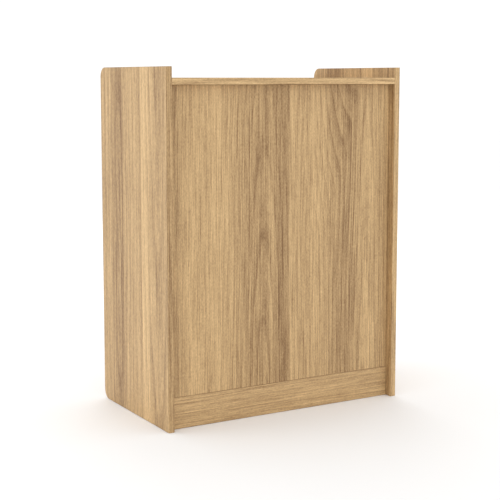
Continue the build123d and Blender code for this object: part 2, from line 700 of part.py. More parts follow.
def catch_case():
    """The moulded case under the lock rail, with the magnet's pocket."""
    half = CATCH_LENGTH / 2
    y = (MAGNET_Y + MAGNET_PROUD, MAGNET_Y + CATCH_DEPTH)
    case = block((CATCH_X - half, CATCH_X + half), y, (FASCIA_LOW - CATCH_HEIGHT, FASCIA_LOW))
    case = fillet(case.edges().filter_by(Axis.Z), CATCH_CORNER)
    return case - catch_magnet()


def catch_screw_points():
    """The case's two screws, driven up into the lock rail."""
    y = MAGNET_Y + CATCH_DEPTH / 2
    return [(CATCH_X + dx, y, FASCIA_LOW - CATCH_HEIGHT) for dx in (-CATCH_SCREW_STEP, CATCH_SCREW_STEP)]


def catch_strike():
    """The steel plate on the right door that the magnet holds."""
    x = (CATCH_X - STRIKE_HALF, CATCH_X + STRIKE_HALF)
    z = (DOOR_TOP - EDGE_RADIUS - STRIKE_HEIGHT, DOOR_TOP - EDGE_RADIUS)
    return plate_xz(x, (FACE_BACK_Y, FACE_BACK_Y + STRIKE), z, STRIKE_CORNER)


def strike_screw_points():
    """The two screws of the strike plate on the right door."""
    z = DOOR_TOP - EDGE_RADIUS - STRIKE_HEIGHT / 2
    return [(CATCH_X + dx, FACE_BACK_Y + STRIKE, z) for dx in (-STRIKE_SCREW_STEP, STRIKE_SCREW_STEP)]


def door_stop():
    """The nylon block on the bottom panel that the right door closes against."""
    y = (FACE_BACK_Y + STOP_GAP, FACE_BACK_Y + STOP_GAP + STOP_SIZE)
    stop = block((STOP_X - STOP_HALF, STOP_X + STOP_HALF), y, (KICK_HEIGHT, KICK_HEIGHT + STOP_SIZE))
    return fillet(stop.edges().group_by(Axis.Z)[-1], STOP_EDGE)


def stop_screw_points():
    """The stop's screw, driven down into the bottom panel."""
    return [(STOP_X, FACE_BACK_Y + STOP_GAP + STOP_SIZE / 2, KICK_HEIGHT + STOP_SIZE)]


# ---- Book slot -----------------------------------------------------------------------------------------------

FLAP_HALF = SLOT_WIDTH / 2 + FLAP_LAP
EAR_X = FLAP_HALF + 2.5
ROD_END_X = EAR_X + PLATE + 2.0
BEZEL_X = CUTOUT_X + BEZEL_LAP
BEZEL_LOW = CUTOUT_LOW - BEZEL_LAP
BEZEL_HIGH = CUTOUT_HIGH + BEZEL_LAP


def bezel():
    """The slot's frame: a flat plate on the fascia, with two ears behind it that carry the flap rod."""
    frame = plate_xz((-BEZEL_X, BEZEL_X), (FACE_Y - PLATE, FACE_Y), (BEZEL_LOW, BEZEL_HIGH), BEZEL_CORNER)
    rim = frame.faces().sort_by(Axis.Y)[0].edges()
    frame = fillet(rim, BEZEL_RIM)
    half = SLOT_WIDTH / 2
    through = (FACE_Y - PLATE - BEYOND, FACE_Y + BEYOND)
    frame = frame - plate_xz((-half, half), through, (SLOT_LOW, SLOT_HIGH), WINDOW_CORNER)
    for side in (RIGHT, LEFT):
        ear_x = sorted((side * EAR_X, side * (EAR_X + PLATE)))
        frame += block(ear_x, (FACE_Y - PLATE / 4, ROD_Y + EAR_HALF), (ROD_Z - EAR_HALF, ROD_Z + EAR_HALF))
    return frame - rod((-BEZEL_X, ROD_Y, ROD_Z), RIGHTWARD, ROD_RADIUS, 2 * BEZEL_X)


def bezel_screw_points():
    """Eight screws in the part of the plate that lies on the fascia."""
    x = CUTOUT_X + BEZEL_LAP / 2
    low = CUTOUT_LOW - BEZEL_LAP / 2
    high = CUTOUT_HIGH + BEZEL_LAP / 2
    places = [side * place for side in (RIGHT, LEFT) for place in (x, x / 3)]
    return [(place, FACE_Y - PLATE, z) for place in places for z in (low, high)]


def flap():
    """The push flap: a plate hung from a sleeve that turns on the rod."""
    front = FACE_Y + FLAP_GAP
    plate = block((-FLAP_HALF, FLAP_HALF), (front, front + PLATE), (SLOT_LOW - FLAP_LAP, ROD_Z))
    low_corners = plate.edges().filter_by(Axis.Y).group_by(Axis.Z)[0]
    plate = fillet(low_corners, FLAP_CORNER)
    sleeve = rod((-FLAP_HALF, ROD_Y, ROD_Z), RIGHTWARD, SLEEVE_RADIUS, 2 * FLAP_HALF)
    bore_start = (-FLAP_HALF - BEYOND, ROD_Y, ROD_Z)
    bore = rod(bore_start, RIGHTWARD, ROD_RADIUS + RUNNING_CLEARANCE, 2 * (FLAP_HALF + BEYOND))
    return plate + sleeve - bore


def flap_rod():
    """The rod across the slot."""
    return rod((-ROD_END_X, ROD_Y, ROD_Z), RIGHTWARD, ROD_RADIUS, 2 * ROD_END_X)


def rod_ring(x, radius, length):
    """A ring round the flap rod, starting at x."""
    ring = rod((x, ROD_Y, ROD_Z), RIGHTWARD, radius, length)
    return ring - rod((x - BEYOND, ROD_Y, ROD_Z), RIGHTWARD, ROD_RADIUS, length + 2 * BEYOND)


def flap_washer():
    """The nylon washer between the right end of the flap's sleeve and the bezel's ear."""
    inner = FLAP_HALF + WASHER_GAP
    return rod_ring(inner, SLEEVE_RADIUS + 0.5, EAR_X - inner)


def rod_cap():
    """The pressed cap that keeps the rod in the right-hand ear."""
    return rod_ring(EAR_X + PLATE, SLEEVE_RADIUS, CAP_LENGTH)


def flap_bumper():
    """The rubber dot on the bezel that quiets the closing flap."""
    start = (BUMPER_X, FACE_Y, SLOT_LOW - FLAP_LAP / 2)
    return rod(start, BACKWARD, BUMPER_RADIUS, BUMPER_HEIGHT)


# ---- Assembly -----------------------------------------------------------------------------------------------

FRAME_FORMS, FRAME_SCREWS = screws(countersunk, hinge_screw_points(INNER_X - LEAF), RIGHTWARD, HINGE_SCREW)
CHUTE_FORMS, CHUTE_SCREWS = screws(countersunk, chute_screw_points(FELT), CHUTE_DOWN, WOOD_SCREW)


def build_casework():
    """The boards and the fittings that join them."""
    for side, name, hinge_forms in ((RIGHT, "right", FRAME_FORMS), (LEFT, "left", mirrored(FRAME_FORMS))):
        outward = (side, 0, 0)
        cleat_forms, cleat_screws = screws(countersunk, cleat_screw_points(side), outward, CLEAT_SCREW)
        keep(f"side_panel_{name}", side_panel(side, hinge_forms, cleat_forms))
        keep(f"chute_cleat_{name}", cleat(side) - cleat_forms - CHUTE_FORMS)
        keep("cleat_screws", *cleat_screws)
    keep("hinge_screws_frame", *FRAME_SCREWS, *mirrored(FRAME_SCREWS))

    top = board((-INNER_X, INNER_X), (FACE_Y, BACK_Y), (TOP_UNDER, TOP_Z))
    keep("top_panel", drilled("top_panel", top))
    back = board((-INNER_X, INNER_X), (BACK_INNER_Y, BACK_FACE_Y), (KICK_HEIGHT, TOP_UNDER))
    keep("back_panel", drilled("back_panel", back))
    back_rail = board((-INNER_X, INNER_X), (BACK_INNER_Y, BACK_FACE_Y), (0, KICK_HEIGHT))
    keep("back_kick_rail", drilled("back_kick_rail", back_rail))
    front_rail = board((-INNER_X, INNER_X), (KICK_Y, KICK_Y + BOARD), (0, DECK_UNDER))
    keep("front_kick_rail", drilled("front_kick_rail", front_rail))

    for name, (bolts, discs, dowels) in JOINTS.items():
        keep("connector_bolts", *bolts)
        keep("wood_dowels", *dowels)
        keep("connector_discs", *[slotted_disc(disc, DISC_FACE[name]) for disc in discs])


def build_chute():
    """The chute board on its cleats, its felt and the landing pad."""
    half_width = INNER_X - CHUTE_SIDE_GAP
    keep("chute_board", chute_layer(FELT, CHUTE_BOTTOM, half_width) - CHUTE_FORMS)
    keep("chute_felt", chute_layer(0, FELT, half_width))
    keep("chute_screws", *CHUTE_SCREWS)
    pad_x = INNER_X - PAD_SIDE_GAP
    pad_y = (FACE_BACK_Y + PAD_FRONT_GAP, BACK_INNER_Y - PAD_BACK_GAP)
    pad = block((-pad_x, pad_x), pad_y, (KICK_HEIGHT, PAD_TOP))
    keep("landing_pad", fillet(pad.edges(), PAD_EDGE_RADIUS))


def build_slot():
    """The fascia, its slot, the flap and what carries it."""
    bezel_forms, bezel_screws = screws(countersunk, bezel_screw_points(), BACKWARD, BEZEL_SCREW)
    keeper_point = (LOCK_X + CAM_WIDTH + 3, FACE_BACK_Y + KEEPER, FASCIA_LOW + BOARD / 2)
    keeper_forms, keeper_screws = screws(countersunk, [keeper_point], FORWARD, STRIKE_SCREW)
    keep("fascia_panel", fascia() - bezel_forms - keeper_forms)
    keep("slot_bezel", bezel() - bezel_forms)
    keep("bezel_screws", *bezel_screws)
    keep("lock_keeper", lock_keeper() - keeper_forms)
    keep("fitting_screws", *keeper_screws)
    keep("slot_flap", flap())
    keep("flap_rod", flap_rod())
    for name, shape in (("flap_washers", flap_washer()), ("rod_caps", rod_cap()), ("flap_bumpers", flap_bumper())):
        keep(name, shape, mirror(shape, about=Plane.YZ))


def build_doors():
    """Both doors with the hardware that is the same on each side, mirrored."""
    leaves = [door_leaf(centre) for centre in HINGE_CENTRES]
    leaf_forms, leaf_screws = screws(countersunk, hinge_screw_points(DOOR_EDGE + LEAF), LEFTWARD, HINGE_SCREW)
    pull_forms, pull_screws = screws(pan_head, pull_screw_points(), FORWARD, PULL_SCREW)
    strike_forms, strike_screws = screws(countersunk, strike_screw_points(), FORWARD, STRIKE_SCREW)
    bolt_forms, bolt_screws = screws(pan_head, bolt_screw_points(), FORWARD, BOLT_SCREW)

    common = door_board() - leaf_forms - pull_forms - strike_forms
    lock_hole = rod((LOCK_X, FACE_Y - BEYOND, LOCK_Z), BACKWARD, LOCK_RADIUS, BOARD + 2 * BEYOND)
    keep("door_right", common - lock_hole)
    keep("door_left", mirror(common, about=Plane.YZ) - bolt_forms)

    pairs = {
        "hinge_leaves": [leaf - leaf_forms for leaf in leaves],
        "hinge_screws": leaf_screws,
        "pull": [pull()],
        "pull_screws": pull_screws,
        "catch_strike": [catch_strike() - strike_forms],
        "strike_screws": strike_screws,
    }
    for name, shapes in pairs.items():
        keep(f"{name}_right", *shapes)
        keep(f"{name}_left", *mirrored(shapes))

    frames = [frame_leaf(centre) - FRAME_FORMS for centre in HINGE_CENTRES]
    pins = [hinge_pin(centre) for centre in HINGE_CENTRES]
    keep("hinge_leaves_frame", *frames, *mirrored(frames))
    keep("hinge_pins", *pins, *mirrored(pins))
    keep("bolt_housing", bolt_housing() - bolt_forms)
    keep("bolt_screws", *bolt_screws)
    keep("bolt_rod", bolt_rod())


def build_lock():
    """The cam lock of the right door, unlocked."""
    cam_form, cam_screw = pan_head((LOCK_X, CAM_Y[1], LOCK_Z), FORWARD, CAM_SCREW)
    keep("lock_body", lock_body())
    keep("lock_nut", lock_nut())
    keep("lock_plug", lock_plug() - cam_form)
    keep("lock_cam", lock_cam())
    keep("cam_screw", cam_screw)
    keep("lock_key", lock_key())


def build_rail():
    """The lock rail with the catches and the bolt's strike under it, and the bottom panel with its stops."""
    catch_forms, catch_screws = screws(pan_head, catch_screw_points(), UP, CATCH_SCREW)
    strike_forms, strike_screws = screws(countersunk, bolt_strike_screw_points(), UP, STRIKE_SCREW)
    keep("lock_rail", lock_rail() - catch_forms - mirrored(catch_forms) - strike_forms)
    case = catch_case() - catch_forms
    keep("catch_cases", case, *mirrored([case]))
    keep("catch_magnets", catch_magnet(), *mirrored([catch_magnet()]))
    keep("catch_screws", *catch_screws, *mirrored(catch_screws))
    keep("bolt_strike", bolt_strike() - strike_forms)
    keep("fitting_screws", *strike_screws)

    stop_forms, stop_screws = screws(countersunk, stop_screw_points(), DOWN, WOOD_SCREW)
    deck = board((-INNER_X, INNER_X), (FACE_Y, BACK_INNER_Y), (DECK_UNDER, KICK_HEIGHT))
    keep("bottom_panel", drilled("bottom_panel", deck) - stop_forms - mirrored(stop_forms))
    stop = door_stop() - stop_forms
    keep("door_stops", stop, *mirrored([stop]))
    keep("stop_screws", *stop_screws, *mirrored(stop_screws))


build_casework()
build_chute()
build_slot()
build_doors()
build_lock()
build_rail()

os.makedirs("parts", exist_ok=True)
for name, solids in nodes.items():
    shape = solids[0] if len(solids) == 1 else Compound(children=list(solids))
    export_step(shape, f"parts/{name}.step")
    print(name, len(solids))
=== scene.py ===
import json
import math
import random

import bmesh
import bpy
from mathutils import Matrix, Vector
from mathutils.bvhtree import BVHTree

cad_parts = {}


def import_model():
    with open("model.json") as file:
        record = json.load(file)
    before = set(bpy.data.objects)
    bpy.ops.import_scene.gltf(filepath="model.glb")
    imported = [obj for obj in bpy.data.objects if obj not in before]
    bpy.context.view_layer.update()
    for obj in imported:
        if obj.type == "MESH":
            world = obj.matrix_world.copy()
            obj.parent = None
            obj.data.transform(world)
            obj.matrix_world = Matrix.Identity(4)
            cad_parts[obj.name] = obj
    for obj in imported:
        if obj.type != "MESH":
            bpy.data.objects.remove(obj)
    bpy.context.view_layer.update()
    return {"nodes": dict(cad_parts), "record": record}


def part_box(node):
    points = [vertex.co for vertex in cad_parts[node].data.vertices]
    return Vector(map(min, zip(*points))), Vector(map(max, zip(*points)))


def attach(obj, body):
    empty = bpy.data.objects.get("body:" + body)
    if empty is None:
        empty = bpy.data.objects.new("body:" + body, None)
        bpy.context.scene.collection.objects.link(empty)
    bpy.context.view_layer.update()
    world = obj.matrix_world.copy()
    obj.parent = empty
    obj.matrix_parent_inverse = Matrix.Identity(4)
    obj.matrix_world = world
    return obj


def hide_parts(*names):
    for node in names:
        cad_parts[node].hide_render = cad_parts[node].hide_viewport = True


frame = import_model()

nodes = frame["nodes"]
scene = bpy.context.scene

MM = 0.001
AXIS = {"X": 0, "Y": 1, "Z": 2}


# ---- Node trees -------------------------------------------------------------------------------------

# A Mix node's sockets: its factor and the two numbers or the two colours, then the result's own socket.
MIX_NUMBERS = ((0, 2, 3), 0)
MIX_COLORS = ((0, 6, 7), 2)


class Tree:
    """A material's node tree, built one node at a time."""

    def __init__(self, name):
        self.material = bpy.data.materials.new(name)
        self.material.use_nodes = True
        self.nodes = self.material.node_tree.nodes
        self.links = self.material.node_tree.links
        self.nodes.clear()

    def plug(self, socket, value):
        """Links a socket to another one, or sets its own value. A colour gets its alpha here."""
        if isinstance(value, bpy.types.NodeSocket):
            self.links.new(value, socket)
        elif socket.type == "RGBA":
            socket.default_value = (*value, 1.0)
        else:
            socket.default_value = value

    def add(self, kind, inputs=None, **settings):
        """A shader node, with values for its inputs and its own settings."""
        node = self.nodes.new("ShaderNode" + kind)
        for key, value in settings.items():
            setattr(node, key, value)
        for key, value in (inputs or {}).items():
            self.plug(node.inputs[key], value)
        return node

    def math(self, operation, *values, clamp=False):
        node = self.add("Math", operation=operation, use_clamp=clamp)
        for socket, value in zip(node.inputs, values):
            self.plug(socket, value)
        return node.outputs[0]

    def weighted(self, *pairs, start=0.0):
        """A start plus some values, each times its weight."""
        total = start
        for value, weight in pairs:
            total = self.math("MULTIPLY_ADD", value, weight, total)
        return total

    def centred(self, noise, reach):
        """A noise moved to lie between -reach and reach."""
        return self.math("MULTIPLY_ADD", noise, 2 * reach, -reach)

    def step(self, value, zero_at, one_at):
        """0 at zero_at and beyond it, 1 at one_at and beyond it. Either of the two may be the larger."""
        inputs = {0: value, 1: zero_at, 2: one_at}
        return self.add("MapRange", inputs, interpolation_type="SMOOTHSTEP").outputs[0]

    def vector(self, x, y, z):
        return self.add("CombineXYZ", {0: x, 1: y, 2: z}).outputs[0]

    def split(self, vector):
        node = self.add("SeparateXYZ", {0: vector})
        return [node.outputs[index] for index in range(3)]

    def stretch(self, vector, scale):
        """A vector scaled differently along each axis."""
        return self.add("VectorMath", {0: vector, 1: scale}, operation="MULTIPLY").outputs[0]

    def place(self):
        """The shaded point in the shared frame at rest, wherever its body has moved to."""
        return self.add("TexCoord").outputs["Object"]

    def facing(self):
        """The way the surface faces at rest, wherever its body has moved to."""
        return self.add("TexCoord").outputs["Normal"]

    def noise(self, vector, scale=1.0, detail=2.0, roughness=0.5, distortion=0.0):
        inputs = {"Vector": vector, "Scale": scale, "Detail": detail, "Roughness": roughness,
                  "Distortion": distortion}
        return self.add("TexNoise", inputs).outputs["Fac"]

    def mix(self, factor, first, second):
        """A colour between two colours."""
        sockets, result = MIX_COLORS
        inputs = dict(zip(sockets, (factor, first, second)))
        return self.add("Mix", inputs, data_type="RGBA", clamp_factor=True).outputs[result]

    def blend(self, factor, first, second):
        """A number between two numbers."""
        sockets, result = MIX_NUMBERS
        inputs = dict(zip(sockets, (factor, first, second)))
        return self.add("Mix", inputs, data_type="FLOAT").outputs[result]

    def ramp(self, factor, stops):
        """A ramp of grey levels: stops are (place, level) pairs."""
        node = self.add("ValToRGB", {0: factor})
        elements = node.color_ramp.elements
        while len(elements) > 1:
            elements.remove(elements[-1])
        for index, (place, level) in enumerate(stops):
            element = elements[0] if index == 0 else elements.new(place)
            element.position = place
            element.color = (level, level, level, 1.0)
        return node.outputs[0]

    def bump(self, height, distance, strength):
        inputs = {"Height": height, "Distance": distance, "Strength": strength}
        return self.add("Bump", inputs).outputs["Normal"]

    def finish(self, color, roughness, normal=None, metallic=0.0, **fixed):
        """The shader and its material. Numbers in fixed are set on the shader's own sockets."""
        shader = self.add("BsdfPrincipled", {"Base Color": color, "Roughness": roughness})
        shader.inputs["Metallic"].default_value = metallic
        if normal is not None:
            self.plug(shader.inputs["Normal"], normal)
        for key, value in fixed.items():
            shader.inputs[key.replace("_", " ")].default_value = value
        output = self.add("OutputMaterial")
        self.links.new(shader.outputs[0], output.inputs["Surface"])
        return self.material


# ---- Oak laminate -----------------------------------------------------------------------------------

OAK_LIGHT = (0.775, 0.530, 0.262)
OAK_DARK = (0.225, 0.120, 0.046)
OAK_PORE = (0.180, 0.095, 0.036)
# The surface: its roughness and what the fibres add to it, its relief, and the fibres' share in that.
OAK_ROUGHNESS = 0.45
FIBRE_ROUGHNESS = 0.14
OAK_RELIEF = 0.10 * MM
OAK_RELIEF_STRENGTH = 0.6
FIBRE_RELIEF = 0.5
OAK_SPECULAR = 0.40

# Every layer of noise: its scale across the grain, through the board and along the grain, in cells per
# metre, then its detail and its roughness.
OAK_LAYERS = {
    "drift": ((5.0, 9.0, 1.4), 2.0, 0.5),
    "wave": ((18.0, 18.0, 3.0), 1.0, 0.5),
    "figure": ((9.0, 9.0, 2.0), 1.0, 0.5),
    "band": ((24.0, 24.0, 0.9), 2.0, 0.5),
    "streak": ((250.0, 250.0, 4.0), 1.0, 0.7),
    "dash": ((300.0, 300.0, 45.0), 1.0, 0.5),
    "fibre": ((380.0, 380.0, 26.0), 1.0, 0.5),
    "patch": ((60.0, 60.0, 14.0), 3.0, 0.6),
    "grit": ((450.0, 450.0, 150.0), 1.0, 0.5),
    "pores": ((700.0, 700.0, 80.0), 1.0, 0.5),
}
# How much each of these changes the tone. A tone of 0 is the darkest oak and 1 the lightest.
TONE_WEIGHTS = {"band": 0.14, "streak": 1.05, "dash": 0.35, "fibre": 0.35, "patch": 0.08, "grit": 0.65}

# How far the grain drifts and waves to either side, and how far the veneer strips drift with it.
DRIFT_REACH = 18.0 * MM
WAVE_REACH = 4.0 * MM
STRIP_REACH = 6.0 * MM
# The straighter lines take this share of the drift and the waves.
STRAIGHT_SHARE = 0.6
# Keeps the leaning lines from being the same on both sides of a heart.
FLOW_LEAN = 0.15

RING_WIDTH = 15.0 * MM
SIDE_RING_WIDTH = 24.0 * MM
# Each growth ring starts dark, grows slowly lighter and turns dark quickly at its end.
RING_PROFILE = [(0.0, 0.20), (0.07, 0.0), (0.22, 0.50), (0.60, 0.80), (0.88, 1.0), (1.0, 0.20)]
RING_MEAN = 0.65
# The rings' weight in the tone everywhere, what patches of stronger figure add, and what a heart adds.
RING_WEIGHT = 0.03
FIGURE_WEIGHT = 0.09
HEART_WEIGHT = 0.17
FIGURE_LIMITS = (0.35, 0.65)
# What a heart adds is gone at the first distance from it and full at the second.
HEART_FADE = (200.0 * MM, 45.0 * MM)
# How much further from the hearts the wood is for each metre through the board.
RING_LEAN = 0.45
# Neighbouring hearts' rings run into each other over this distance.
HEART_MERGE = 12.0 * MM

PORE_LIMITS = (0.60, 0.70)
PORE_DARKNESS = 0.40
# The share of the pores that shows in a ring's darkest part, and what of it is lost in its lightest.
PORES_SHOWN = 0.90
PORES_LOST = 0.60

MEAN_TONE = 0.47
# The tones of the strips are moved this much further from the mean.
STRIP_CONTRAST = 1.28

# A face belongs to an end or an edge of a board when it leans more than about 45 degrees towards it.
EDGE_FACING = (0.69, 0.72)
# The glue line of the edge banding is gone at the first distance from the rim and full at the second.
GLUE_FADE = (1.56 * MM, 0.84 * MM)
GLUE_DARKNESS = 0.55

# How far the noise moves from one board to the next, across the grain and through the board.
BOARD_OFFSETS = (0.37, 0.259)


def ring_field(tree, across, along, hearts):
    """Distance from the nearest heart of the wood, which makes long ovals round it: a cathedral figure."""
    field = None
    for across_at, along_at, taper, lag in hearts:
        side = tree.math("SUBTRACT", across, across_at)
        reach = tree.math("MULTIPLY", tree.math("SUBTRACT", along, along_at), taper)
        squares = tree.math("ADD", tree.math("MULTIPLY", side, side), tree.math("MULTIPLY", reach, reach))
        distance = tree.math("ADD", tree.math("SQRT", squares), lag)
        field = distance if field is None else tree.math("SMOOTH_MIN", field, distance, HEART_MERGE)
    return field


def rim_distance(tree, axes, flat_axes, lowest, highest):
    """How far a point of a broad face is from the nearest rim of the board's box."""
    rim = None
    for axis in flat_axes:
        for inward in (tree.math("SUBTRACT", axes[axis], lowest[axis]),
                       tree.math("SUBTRACT", highest[axis], axes[axis])):
            rim = inward if rim is None else tree.math("MINIMUM", rim, inward)
    return rim


def oak_layer(tree, name, point):
    """One of the oak's layers of noise."""
    scale, detail, roughness = OAK_LAYERS[name]
    return tree.noise(tree.stretch(point, scale), detail=detail, roughness=roughness)


def oak(name, grain, across, box, strips, hearts, ring_width, edge_tone, seed):
    """Oak laminate for one board.

    grain and across name the axes along and across the grain of its broad faces, and box is the two corners
    of its box. strips are (place across, tone) pairs. hearts are (across, along, taper, lag) points: a
    larger taper makes shorter ovals, and a heart with a larger lag gives way sooner to its neighbours.
    edge_tone is added to the tone on the board's long edges.
    """
    tree = Tree(name)
    lowest, highest = box
    thick = ({"X", "Y", "Z"} - {grain, across}).pop()
    axes = tree.split(tree.place())
    facing = tree.split(tree.facing())
    end = tree.step(tree.math("ABSOLUTE", facing[AXIS[grain]]), *EDGE_FACING)
    edge = tree.step(tree.math("ABSOLUTE", facing[AXIS[across]]), *EDGE_FACING)

    # Edge banding runs along each edge, so on the ends the two long directions change places.
    side, through, along = axes[AXIS[across]], axes[AXIS[thick]], axes[AXIS[grain]]
    side, along = tree.blend(end, side, along), tree.blend(end, along, side)
    offset_across, offset_through = (seed * offset for offset in BOARD_OFFSETS)
    moved = tree.math("ADD", side, offset_across), tree.math("ADD", through, offset_through)
    point = tree.vector(*moved, along)

    drift = oak_layer(tree, "drift", point)
    wave = oak_layer(tree, "wave", point)
    wander = tree.math("ADD", tree.centred(drift, DRIFT_REACH), tree.centred(wave, WAVE_REACH))

    from_heart = ring_field(tree, tree.math("ADD", side, wander), along, hearts)
    field = tree.weighted((through, RING_LEAN), start=from_heart)
    ring = tree.ramp(tree.math("FRACT", tree.math("DIVIDE", field, ring_width)), RING_PROFILE)

    # Fibres and pores follow the rings, so they lean with the figure. The other lines run straighter.
    sideways = tree.weighted((side, FLOW_LEAN), start=through)
    flow = tree.vector(tree.math("ADD", field, offset_across), sideways, along)
    straighter = tree.math("ADD", tree.weighted((wander, STRAIGHT_SHARE), start=side), offset_across)
    straight = tree.vector(straighter, through, along)
    tones = {"band": oak_layer(tree, "band", point), "streak": oak_layer(tree, "streak", straight),
             "dash": oak_layer(tree, "dash", straight), "fibre": oak_layer(tree, "fibre", flow),
             "patch": oak_layer(tree, "patch", point), "grit": oak_layer(tree, "grit", straight)}
    pores = tree.step(oak_layer(tree, "pores", flow), *PORE_LIMITS)
    pores = tree.math("MULTIPLY", pores, tree.weighted((ring, -PORES_LOST), start=PORES_SHOWN))

    # Broad strips of lighter and darker veneer, with slightly wandering edges.
    low, high = lowest[AXIS[across]], highest[AXIS[across]]
    loose = tree.math("ADD", side, tree.centred(drift, STRIP_REACH))
    share_across = tree.add("MapRange", {0: loose, 1: low, 2: high}).outputs[0]
    stops = [((place - low) / (high - low), tone) for place, tone in strips]
    level = tree.weighted((tree.ramp(share_across, stops), STRIP_CONTRAST), (edge, edge_tone),
                          start=MEAN_TONE * (1 - STRIP_CONTRAST))
    for layer, tone in tones.items():
        level = tree.math("ADD", level, tree.centred(tone, TONE_WEIGHTS[layer] / 2))

    near_heart = tree.step(from_heart, *HEART_FADE)
    figure = tree.step(oak_layer(tree, "figure", point), *FIGURE_LIMITS)
    ring_weight = tree.weighted((figure, FIGURE_WEIGHT), (near_heart, HEART_WEIGHT), start=RING_WEIGHT)
    ring_level = tree.math("MULTIPLY", tree.math("SUBTRACT", ring, RING_MEAN), ring_weight)
    level = tree.math("ADD", level, ring_level, clamp=True)
    color = tree.mix(level, OAK_DARK, OAK_LIGHT)
    color = tree.mix(tree.math("MULTIPLY", pores, PORE_DARKNESS), color, OAK_PORE)

    # The glue line of the edge banding, just inside the rim of each broad face.
    rim = rim_distance(tree, axes, (AXIS[across], AXIS[grain]), lowest, highest)
    broad = tree.math("SUBTRACT", tree.math("SUBTRACT", 1.0, end), edge, clamp=True)
    glue_line = tree.math("MULTIPLY", tree.step(rim, *GLUE_FADE), broad)
    color = tree.mix(tree.math("MULTIPLY", glue_line, GLUE_DARKNESS), color, OAK_PORE)

    roughness = tree.weighted((tones["fibre"], FIBRE_ROUGHNESS), start=OAK_ROUGHNESS)
    height = tree.math("SUBTRACT", tree.math("MULTIPLY", tones["fibre"], FIBRE_RELIEF), pores)
    normal = tree.bump(height, OAK_RELIEF, OAK_RELIEF_STRENGTH)
    return tree.finish(color, roughness, normal, Specular_IOR_Level=OAK_SPECULAR)


# Boards that the photo does not show: their strips' widths, and tones over or under the mean, and the share
# and the width of the sharp steps between strips.
STRIP_WIDTHS = (18.0 * MM, 55.0 * MM)
STRIP_TONES = (-0.14, 0.13)
SHARP_SHARE = 0.3
SHARP_WIDTH = 3.0 * MM
# Their hearts: how far apart they are, where in its own stretch of board each one lies, and its taper.
HEART_PITCH = 160.0 * MM
HEART_PLACES = (0.2, 0.8)
HEART_TAPERS = (0.05, 0.10)
# Added to a board's seed for its hearts, so that they are not drawn as its strips are.
HEART_SEED = 500


def even_strips(low, high, seed):
    """Strips of random width and tone across a board that the photo does not show."""
    draw = random.Random(seed)
    strips = []
    place = low
    level = MEAN_TONE
    while place < high:
        strips.append((place, level))
        place += draw.uniform(*STRIP_WIDTHS)
        next_level = MEAN_TONE + draw.uniform(*STRIP_TONES)
        if draw.random() < SHARP_SHARE:
            strips.append((place, level))
            place += SHARP_WIDTH
        level = next_level
    strips.append((high, level))
    return strips


def even_hearts(low, high, along_low, along_high, seed):
    """Hearts scattered over a board that the photo does not show."""
    draw = random.Random(seed + HEART_SEED)
    count = max(2, round((high - low) / HEART_PITCH))
    pitch = (high - low) / count
    hearts = []
    for index in range(count):
        across_at = low + pitch * (index + draw.uniform(*HEART_PLACES))
        hearts.append((across_at, draw.uniform(along_low, along_high), draw.uniform(*HEART_TAPERS), 0.0))
    return hearts


# The back panel's strips, partly painted shade at its +X end, and its hearts, across x and up z, as the
# photo shows them.
BACK_STRIPS_AND_SHADE = [
    (-0.369, 0.48), (-0.342, 0.50), (-0.286, 0.56), (-0.242, 0.40), (-0.220, 0.33), (-0.177, 0.40),
    (-0.134, 0.50), (-0.103, 0.57), (-0.071, 0.50), (-0.019, 0.58), (-0.013, 0.35), (0.011, 0.27),
    (0.042, 0.49), (0.062, 0.37), (0.122, 0.42), (0.161, 0.49), (0.228, 0.60), (0.257, 0.54),
    # The darker stops at x 0.350 and 0.369 are partly the veneer's own tone and partly painted shade in the
    # corner beside the +X side panel.
    (0.285, 0.60), (0.313, 0.54), (0.350, 0.42), (0.369, 0.44),
]
BACK_HEARTS = [(0.070, -0.20, 0.060, 0.0), (-0.235, 1.45, 0.170, -0.06), (-0.290, -0.50, 0.030, -0.03),
               (-0.262, 0.13, 0.073, 0.0)]
# The side panels' strips and hearts, across y and up z.
SIDE_STRIPS = [
    (-0.209, 0.46), (-0.145, 0.48), (-0.135, 0.38), (-0.062, 0.27), (-0.057, 0.46), (-0.011, 0.52),
    (0.040, 0.54), (0.063, 0.43), (0.068, 0.70), (0.108, 0.66), (0.118, 0.54), (0.155, 0.50), (0.160, 0.44),
    (0.229, 0.47),
]
SIDE_HEARTS = [(-0.095, 0.28, 0.09, 0.0), (-0.085, 0.66, 0.07, 0.0), (0.170, 1.30, 0.05, 0.0)]
# The back kick rail has one even tone and straight grain, so its heart is far off.
KICK_TONE = 0.525
KICK_HEARTS = [(-0.30, 0.0, 0.01, 0.0)]
# Added to the tone on the long edges of a board.
EDGE_TONES = {"side_panel_right": -0.12, "side_panel_left": 0.10, "top_panel": 0.34}

# Every board: the axis along its grain, the axis across it, and a seed.
BOARDS = {
    "side_panel_right": ("Z", "Y", 1),
    "side_panel_left": ("Z", "Y", 2),
    "back_panel": ("Z", "X", 3),
    "top_panel": ("X", "Y", 4),
    "bottom_panel": ("X", "Y", 5),
    "back_kick_rail": ("X", "Z", 6),
    "front_kick_rail": ("X", "Z", 7),
    "fascia_panel": ("X", "Z", 8),
    "lock_rail": ("X", "Y", 9),
    "chute_board": ("X", "Y", 10),
    "door_right": ("Z", "X", 11),
    "door_left": ("Z", "X", 12),
}


